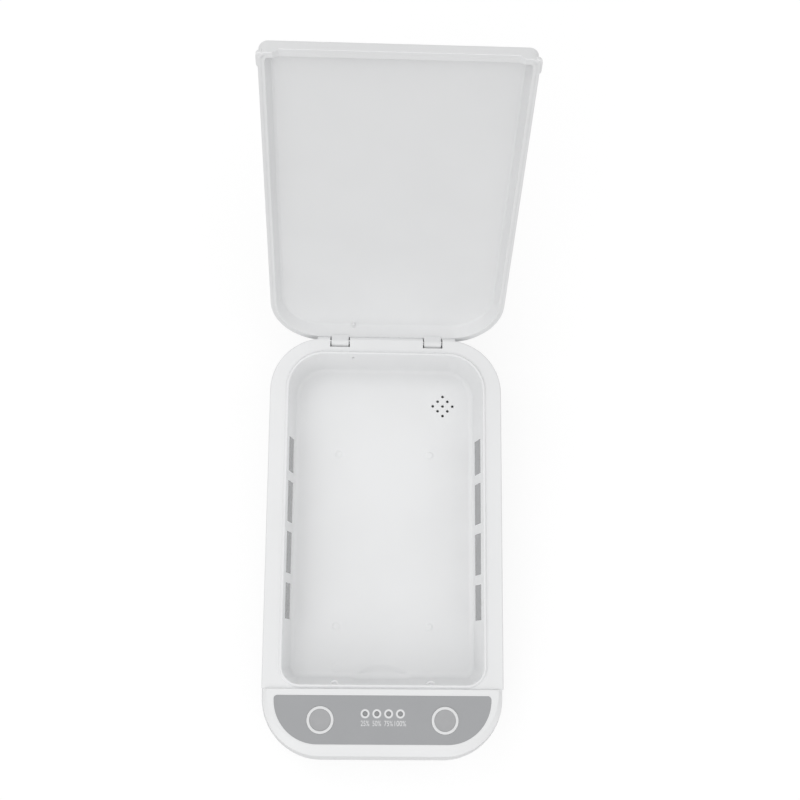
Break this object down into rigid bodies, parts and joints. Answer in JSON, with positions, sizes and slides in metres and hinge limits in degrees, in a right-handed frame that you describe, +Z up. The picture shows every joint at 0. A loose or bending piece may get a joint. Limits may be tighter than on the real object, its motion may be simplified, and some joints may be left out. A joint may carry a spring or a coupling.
{
  "type": "uv sanitizer box",
  "caption": "Shallow white box with a deep tray for a phone, ultraviolet lamps behind slots in its walls, a hinged lid and a panel with buttons and lights.",
  "frame": {"origin": "centre of the base's footprint, on the surface that the feet stand on", "axes": "+X to the user's right, +Y from the control panel to the hinge, +Z up; rest pose is the lid open on its stop"},
  "size_m": [0.1212, 0.3039, 0.1886],
  "materials": {
    "white_casing": "white ABS, fine satin texture",
    "white_lining": "white ABS, semi-gloss",
    "grey_overlay": "grey printed film, satin",
    "button_ring": "white plastic, smooth",
    "button_disc": "light grey plastic, satin",
    "light_pipe": "milky clear acrylic",
    "led": "cast epoxy",
    "circuit_board": "green solder mask",
    "black_plastic": "moulded black plastic",
    "lamp_glass": "clear quartz tube",
    "silicone": "white silicone",
    "reflector": "bright rolled strip",
    "steel": "plated steel",
    "felt": "pressed felt",
    "aluminium_plate": "plain aluminium",
    "ferrite": "ferrite core with tape",
    "nickel_shell": "bright nickel",
    "magnet": "nickel plated magnet",
    "rubber_foot": "grey rubber"
  },
  "bodies": {
    "base": {"top_housing": "white_casing", "bottom_cover": "white_casing", "chamber_tray": "white_lining", "control_overlay": "grey_overlay", "light_pipe_25": "light_pipe", "light_pipe_50": "light_pipe", "light_pipe_75": "light_pipe", "light_pipe_100": "light_pipe", "led_25": "led", "led_50": "led", "led_75": "led", "led_100": "led", "control_board": "circuit_board", "sterilize_switch": "black_plastic", "aroma_switch": "black_plastic", "controller_chip": "black_plastic", "buzzer": "black_plastic", "uv_lamp_left": "lamp_glass", "uv_lamp_right": "lamp_glass", "lamp_holder_left_back": "silicone", "lamp_holder_left_front": "silicone", "lamp_holder_right_back": "silicone", "lamp_holder_right_front": "silicone", "reflector_left": "reflector", "reflector_right": "reflector", "aroma_cup": "white_lining", "aroma_pad": "felt", "aroma_warmer": "aluminium_plate", "driver_board": "circuit_board", "driver_transformer": "ferrite", "power_inlet": "nickel_shell", "inlet_board": "circuit_board", "lid_sensor": "black_plastic", "hinge_pin_left": "steel", "hinge_pin_right": "steel", "foot_front_left": "rubber_foot", "foot_front_right": "rubber_foot", "foot_back_left": "rubber_foot", "foot_back_right": "rubber_foot", "case_screws": "steel", "control_board_screws": "steel", "driver_board_screws": "steel", "tray_screws": "steel"},
    "lid": {"lid_shell": "white_casing", "lid_liner": "white_lining", "lid_magnet": "magnet"},
    "sterilize_button": {"sterilize_button_cap": "button_ring", "sterilize_button_disc": "button_disc", "sterilize_switch_plunger": "black_plastic"},
    "aroma_button": {"aroma_button_cap": "button_ring", "aroma_button_disc": "button_disc", "aroma_switch_plunger": "black_plastic"}
  },
  "joints": [
    {"name": "lid_hinge", "type": "hinge", "parent": "base", "child": "lid", "pos_m": [0, 0.1046, 0.034], "axis": [1, 0, 0], "range_deg": [0, 117.7]},
    {"name": "sterilize_button_press", "type": "slide", "parent": "base", "child": "sterilize_button", "axis": [0, 0, -1], "range_m": [0, 0.0006], "stiffness_N_per_m": 1500},
    {"name": "aroma_button_press", "type": "slide", "parent": "base", "child": "aroma_button", "axis": [0, 0, -1], "range_m": [0, 0.0006], "stiffness_N_per_m": 1500}
  ]
}
